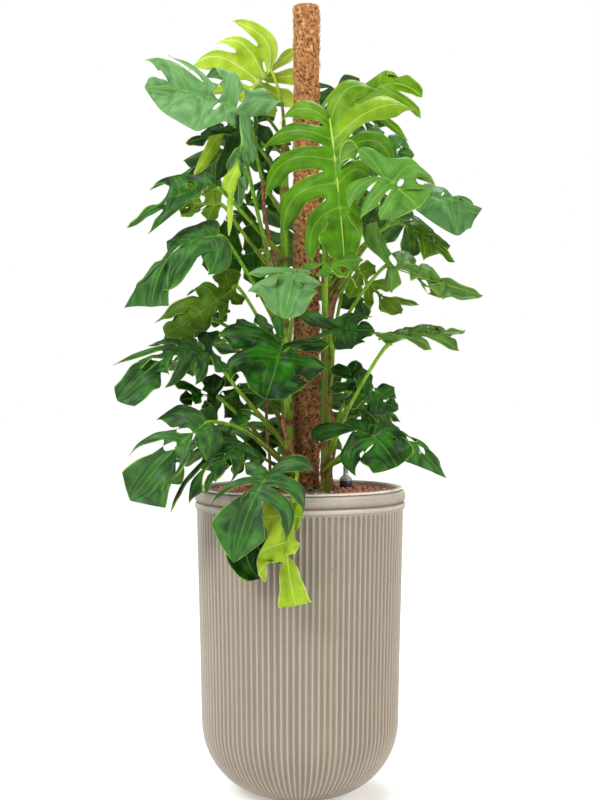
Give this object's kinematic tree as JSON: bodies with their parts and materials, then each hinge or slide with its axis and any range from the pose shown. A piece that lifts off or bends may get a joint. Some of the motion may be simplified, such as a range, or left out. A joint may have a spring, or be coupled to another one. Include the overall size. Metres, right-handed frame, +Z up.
{
  "type": "potted house plant",
  "caption": "Split-leaf climbing house plant tied to a tall coir pole, in a ribbed round planter filled with clay granules, with a water gauge.",
  "frame": {"origin": "middle of the planter's flat foot, on the surface it stands on", "axes": "+Z up along the planter and the pole, -Y towards the viewer of the front, +X to the viewer's right"},
  "size_m": [0.7092, 0.607, 1.572],
  "materials": {
    "planter_body": "matt fibre clay with a sanded, weathered wash",
    "clay_granules": "fired expanded clay, dusty and matt",
    "culture_pot": "black moulded plastic",
    "root_ball": "roots grown through granules",
    "coir": "matted coconut fibre, wound with fine thread",
    "pole_core": "sawn softwood stake",
    "gauge_body": "dark moulded plastic",
    "gauge_clear": "clear plastic",
    "gauge_float": "red plastic",
    "tie": "green plastic coat on soft wire",
    "leaf": "waxy living leaf, deep green, satin",
    "stem": "green stalk with brown nodes, satin",
    "aerial_root": "dry brown bark"
  },
  "bodies": {
    "root": {"planter": "planter_body", "granule_bed": "clay_granules", "granule_cover": "clay_granules", "grow_pot": "culture_pot", "root_ball": "root_ball", "coir_pole": "coir", "pole_core": "pole_core", "gauge_tube": "gauge_body", "gauge_cap": "gauge_clear", "gauge_float": "gauge_float", "plant_tie": "tie", "leafy_stem_left": "leaf", "leafy_stem_front_left": "leaf", "leafy_stem_right": "leaf", "leafy_stem_front_right": "leaf", "leafy_stem_back": "leaf"}
  },
  "joints": []
}
